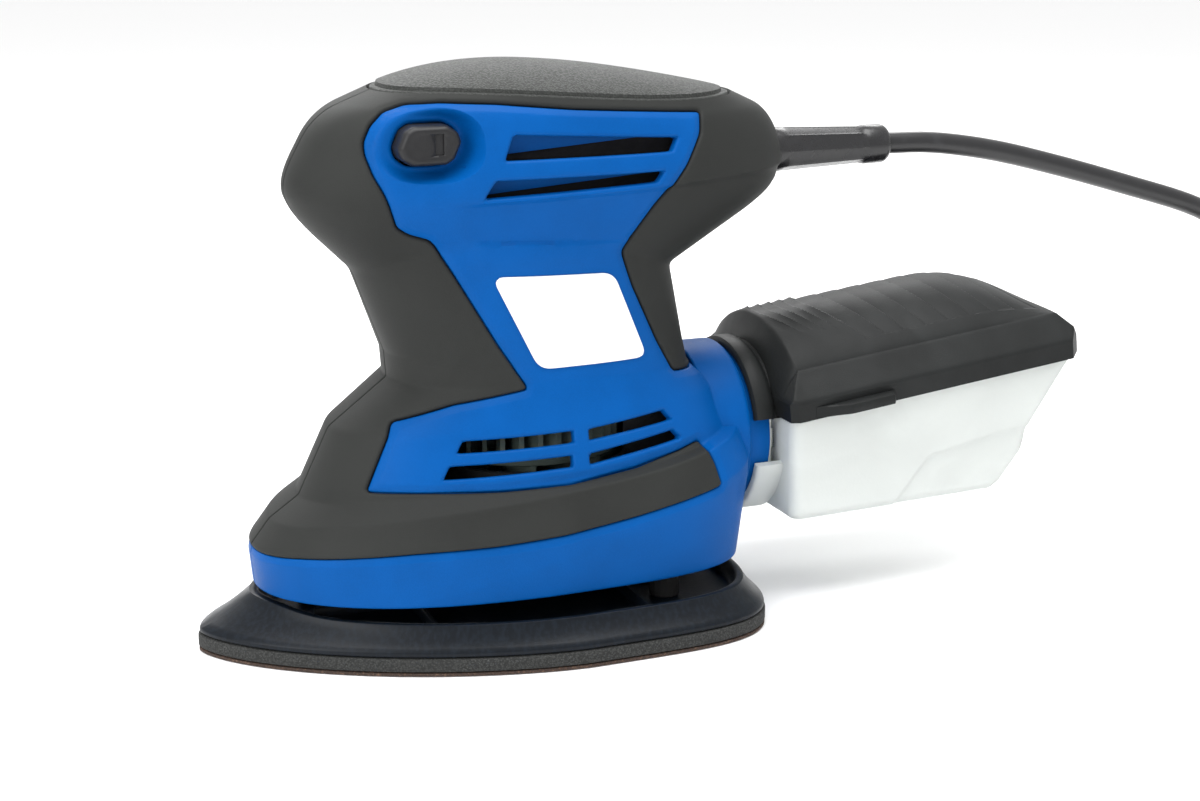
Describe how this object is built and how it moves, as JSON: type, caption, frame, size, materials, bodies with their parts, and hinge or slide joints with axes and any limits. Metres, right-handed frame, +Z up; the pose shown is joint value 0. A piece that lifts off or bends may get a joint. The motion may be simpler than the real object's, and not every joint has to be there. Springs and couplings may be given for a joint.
{
  "type": "delta palm sander",
  "caption": "Corded delta palm sander with a grip housing, orbiting delta pad, push-through switch, dust outlet and removable dust box.",
  "frame": {"origin": "centre of the sanding face, on the abrasive sheet's underside", "axes": "+Z up out of the pad, +X from the pad's tip towards the dust box, +Y to the tool's right when it is pushed tip first"},
  "size_m": [0.469, 0.1257, 0.1504],
  "materials": {
    "housing": "fine satin texture",
    "soft_grip": "soft matt overmould",
    "palm_cap": "pebbled soft grip",
    "label": "satin film",
    "black_plastic": "moulded",
    "platen": "semi-gloss moulded",
    "lid": "satin moulded",
    "cord_rubber": "smooth",
    "plated_brass": "nickel plated",
    "steel": "machined",
    "lamination": "stacked sheet",
    "bearing_steel": "ground",
    "screws": "zinc plated",
    "copper": "enamelled copper",
    "brass": "stamped",
    "carbon": "pressed carbon",
    "foam": "closed-cell foam with hook face",
    "abrasive": "coated abrasive paper",
    "post_rubber": "elastic",
    "dust_box": "milky translucent",
    "filter": "pleated paper",
    "lead_brown": "insulated wire",
    "lead_blue": "insulated wire",
    "capacitor": "boxed film capacitor"
  },
  "bodies": {
    "housing": {"housing_left": "housing", "housing_right": "housing", "soft_grip_left": "soft_grip", "soft_grip_right": "soft_grip", "palm_cap": "palm_cap", "label_left": "label", "label_right": "label", "housing_screw_1": "screws", "housing_screw_2": "screws", "housing_screw_3": "screws", "housing_screw_4": "screws", "housing_screw_5": "screws", "base_cover": "black_plastic", "switch_block": "black_plastic", "cord_clamp": "steel", "lead_brown": "lead_brown", "lead_blue": "lead_blue", "suppressor_capacitor": "capacitor", "cord_guard": "cord_rubber", "stator_stack": "lamination", "field_coil_front": "copper", "field_coil_rear": "copper", "bearing_plate": "black_plastic", "brush_left": "carbon", "brush_right": "carbon", "brush_holder_left": "brass", "brush_holder_right": "brass", "brush_spring_left": "steel", "brush_spring_right": "steel", "upper_bearing": "bearing_steel", "lower_bearing": "bearing_steel", "dust_chamber": "black_plastic", "dust_outlet": "housing", "cord": "cord_rubber", "cord_coil": "cord_rubber", "plug_body": "cord_rubber", "plug_pin_1": "plated_brass", "plug_pin_2": "plated_brass"},
    "switch": {"switch_bar": "black_plastic"},
    "rotor": {"rotor_shaft": "steel", "armature_core": "lamination", "armature_winding": "copper", "commutator": "copper", "fan": "black_plastic", "eccentric": "steel", "pad_screw": "screws"},
    "pad": {"platen": "platen", "foam_pad": "foam", "sanding_sheet": "abrasive", "pad_bearing": "bearing_steel", "elastic_post_1": "post_rubber", "elastic_post_2": "post_rubber", "elastic_post_3": "post_rubber", "post_screw_1": "screws", "post_screw_2": "screws", "post_screw_3": "screws"},
    "dust_box": {"dust_box": "dust_box"},
    "dust_box_lid": {"dust_box_lid": "lid", "pleated_filter": "filter"}
  },
  "joints": [
    {"name": "rotor_spin", "type": "hinge", "parent": "housing", "child": "rotor", "pos_m": [0.016, 0, 0.07], "axis": [0, 0, 1], "continuous": true},
    {"name": "pad_orbit", "type": "hinge", "parent": "rotor", "child": "pad", "pos_m": [0.017, 0, 0.014], "axis": [0, 0, 1], "continuous": true},
    {"name": "switch_slide", "type": "slide", "parent": "housing", "child": "switch", "axis": [0, 1, 0], "range_m": [0, 0.004]},
    {"name": "dust_box_pull", "type": "slide", "parent": "housing", "child": "dust_box", "axis": [1, 0, 0], "range_m": [0, 0.05]},
    {"name": "lid_lift", "type": "slide", "parent": "dust_box", "child": "dust_box_lid", "axis": [-0.1149, 0, 0.9934], "range_m": [0, 0.018]}
  ],
  "couplings": [
    {"joint": "pad_orbit", "follows": "rotor_spin", "ratio": -1}
  ]
}
